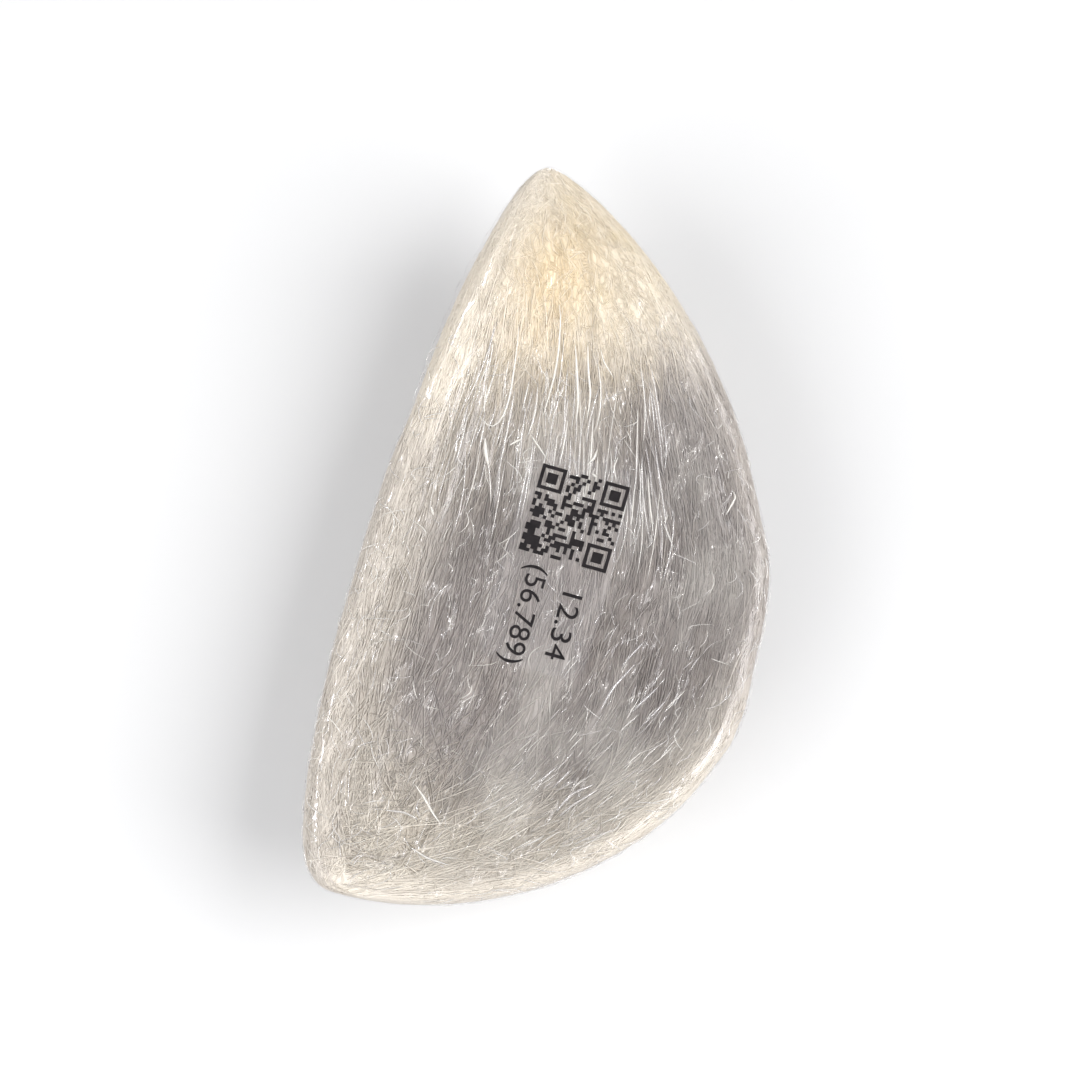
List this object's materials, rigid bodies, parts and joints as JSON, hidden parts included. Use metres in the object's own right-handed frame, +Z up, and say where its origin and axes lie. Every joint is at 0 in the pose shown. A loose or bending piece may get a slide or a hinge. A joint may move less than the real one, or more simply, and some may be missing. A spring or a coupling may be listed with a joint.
{
  "type": "edible bird's nest",
  "caption": "Half-moon dried swiftlet nest with a solid pointed foot, a thick rim and a hollow, shrunk in clear film with a small clear label over the mouth.",
  "frame": {"origin": "middle of the small flat on the underside, on which the wrapped nest rests", "axes": "+X towards the pointed foot, +Y towards the straight side that grew on the wall, +Z up, out of the mouth"},
  "size_m": [0.1125, 0.0615, 0.0327],
  "materials": {
    "nest_strands": "dried translucent strands, satin",
    "clear_film": "clear shrink film, glossy",
    "label_film": "clear adhesive label with black print"
  },
  "bodies": {
    "root": {"nest": "nest_strands", "film_wrap": "clear_film", "weight_label": "label_film"}
  },
  "joints": []
}
